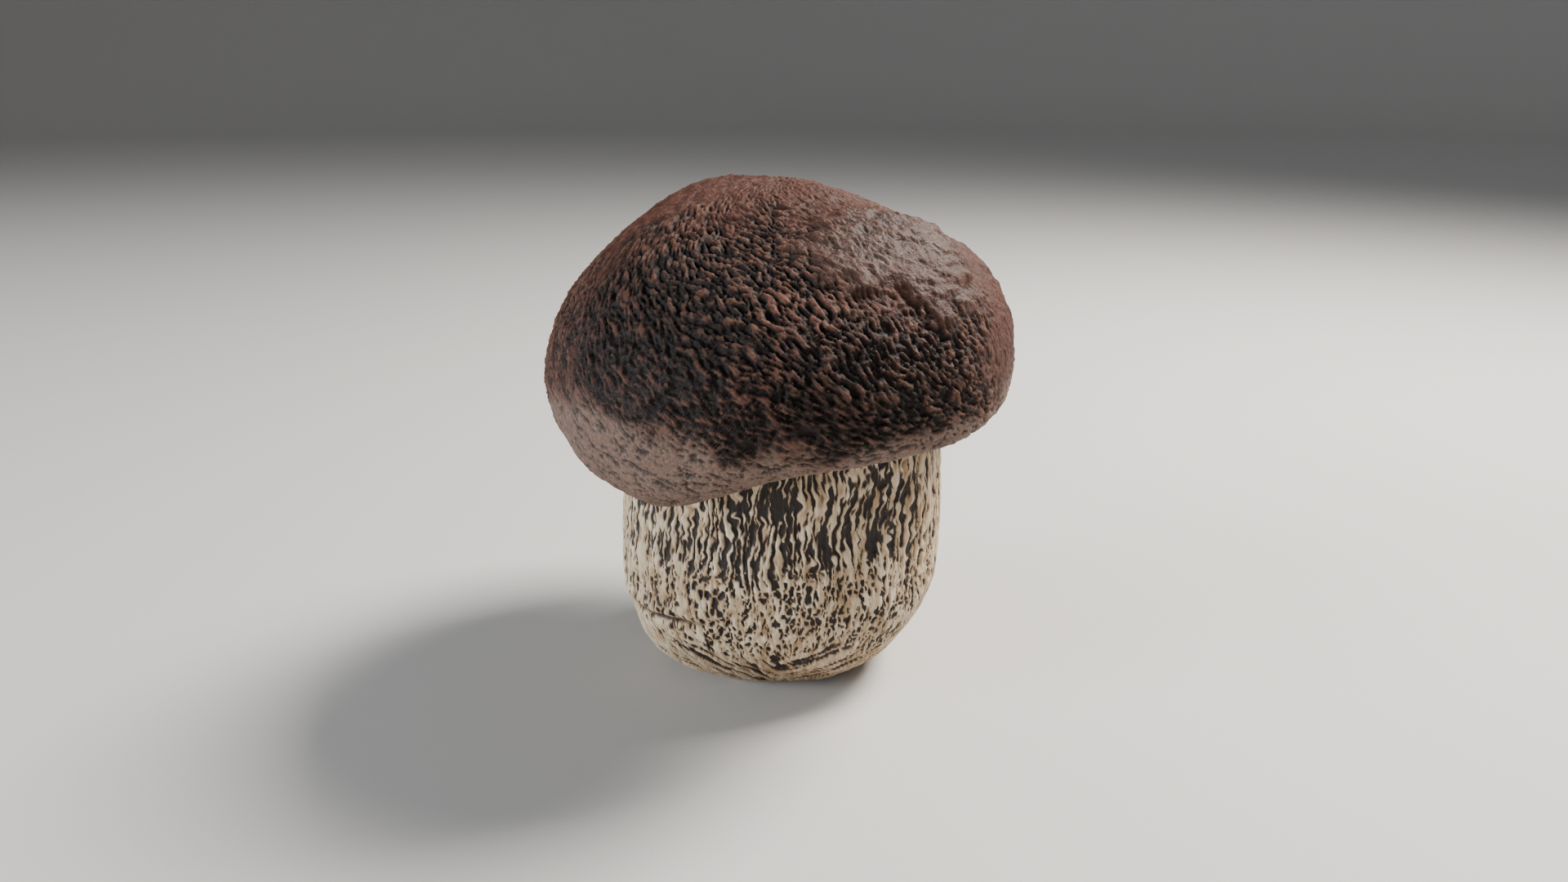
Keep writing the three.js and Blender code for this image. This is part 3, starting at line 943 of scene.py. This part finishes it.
def stem_material():
    s = Shader("stem_fibres", 0.7)
    long_grain = s.ramp(s.noise(size=0.6, stretch=(1, 1, 9)), 0.32, 0.68)
    patch = s.ramp(s.noise(size=6, stretch=(1, 1, 2)), 0.35, 0.65)
    browned = s.ramp(s.field("tone"), 0.15, 0.75, start=0.65, end=0.0)
    tone = s.math("ADD", s.math("MULTIPLY", patch, 0.45), browned)
    flesh = s.mix(s.mix(*STEM_CREAM, long_grain), s.mix(*STEM_TAN, long_grain), tone)
    flesh = s.mix(flesh, STEM_FOOT, s.share("foot", 0.3))
    face = s.mix(*STEM_CUT, s.ramp(s.noise(size=2.2, detail=6), 0.38, 0.56))
    flesh = s.mix(flesh, face, s.field("cut"))
    # grooves: darker brown where shallow, near-black painted shade where deep
    shade = s.mix(*STEM_GROOVE_BROWN_AND_SHADE, s.ramp(s.field("groove_brown_and_shade"), 0.3, 0.8))
    s.feed("Base Color", s.mix(flesh, shade, s.ramp(s.field("groove_brown_and_shade"), 0.08, 0.5)))
    s.feed("Roughness", s.ramp(long_grain, 0, 1, start=0.8, end=0.58))
    fibre = s.bump(s.noise(size=0.4, stretch=(1, 1, 7)), depth=0.2)
    s.feed("Normal", s.bump(s.noise(size=0.3, detail=3), depth=0.05, under=fibre))
    return s.material


def gill_material():
    s = Shader("gill_blades", 0.75)
    s.feed("Base Color", s.mix(*GILL_BROWN, s.ramp(s.noise(size=2.5), 0.3, 0.7)))
    s.feed("Normal", s.bump(s.noise(size=0.5, detail=3), depth=0.08))
    return s.material


# ---- Stage: metres, apart from the camera's target ----

FLOOR_RADIUS = 2.2
COVE_RADIUS = 1.0
COVE_STEPS = 8
WALL_HEIGHT = 1.8
STAGE_COLUMNS = 96


def make_stage():
    """A pale round floor that curves up into a wall all the way round."""
    profile = [(0.0, 0.0), (FLOOR_RADIUS * 0.5, 0.0), (FLOOR_RADIUS, 0.0)]
    for turn in np.linspace(0, math.pi / 2, COVE_STEPS + 1)[1:]:
        profile.append((FLOOR_RADIUS + COVE_RADIUS * math.sin(turn), COVE_RADIUS * (1 - math.cos(turn))))
    profile.append((FLOOR_RADIUS + COVE_RADIUS, WALL_HEIGHT))
    places = []
    for radius, z in profile:
        for i in range(STAGE_COLUMNS):
            turn = i * 2 * math.pi / STAGE_COLUMNS
            places.append((radius * math.cos(turn), radius * math.sin(turn), z))
    number = np.arange(len(places)).reshape(len(profile), STAGE_COLUMNS)
    beside = np.roll(number, -1, 1)
    quads = np.stack([number[:-1], number[1:], beside[1:], beside[:-1]], axis=-1).reshape(-1, 4)
    mesh = bpy.data.meshes.new("floor")
    mesh.from_pydata(places, [], quads.tolist())
    mesh.polygons.foreach_set("use_smooth", [True] * len(mesh.polygons))
    floor = bpy.data.objects.new("floor", mesh)
    bpy.context.scene.collection.objects.link(floor)
    s = Shader("pale_floor", 0.85)
    s.set("Base Color", FLOOR_COLOUR)
    floor.data.materials.append(s.material)


def softbox(name, azimuth, elevation, distance, size, power, colour=(1.0, 1.0, 1.0)):
    """A square area light that faces the mushroom."""
    light = bpy.data.lights.new(name, "AREA")
    light.size = size
    light.energy = power
    light.color = colour
    lamp = bpy.data.objects.new(name, light)
    bpy.context.scene.collection.objects.link(lamp)
    direction = Vector(heading(math.radians(azimuth), math.pi / 2 - math.radians(elevation)))
    lamp.location = CAMERA_TARGET + direction * distance
    lamp.visible_camera = False
    lamp.rotation_euler = direction.to_track_quat("Z", "Y").to_euler()


def make_lights():
    warm, cool = (1.0, 0.94, 0.88), (0.90, 0.95, 1.0)
    softbox("key", azimuth=20, elevation=50, distance=0.55, size=0.20, power=8.5, colour=warm)
    softbox("fill_left", azimuth=199, elevation=11, distance=1.0, size=0.44, power=11.6, colour=cool)
    softbox("front", azimuth=-80, elevation=14, distance=0.70, size=0.35, power=0.35)
    world = bpy.data.worlds.new("studio")
    world.use_nodes = True
    background = world.node_tree.nodes["Background"]
    background.inputs["Color"].default_value = (0.9, 0.92, 0.95, 1)
    background.inputs["Strength"].default_value = 0.2
    bpy.context.scene.world = world


def make_camera():
    data = bpy.data.cameras.new("camera")
    data.sensor_fit = "VERTICAL"
    data.angle = CAMERA_VERTICAL_ANGLE
    data.clip_start = 0.01
    camera = bpy.data.objects.new("camera", data)
    bpy.context.scene.collection.objects.link(camera)
    back = Vector((0, -math.cos(CAMERA_ELEVATION), math.sin(CAMERA_ELEVATION)))
    camera.location = CAMERA_TARGET + back * CAMERA_DISTANCE
    camera.rotation_euler = (math.pi / 2 - CAMERA_ELEVATION, 0, 0)
    bpy.context.scene.camera = camera


make_camera()
make_cap()
make_stem()
make_gills()
make_stage()
make_lights()
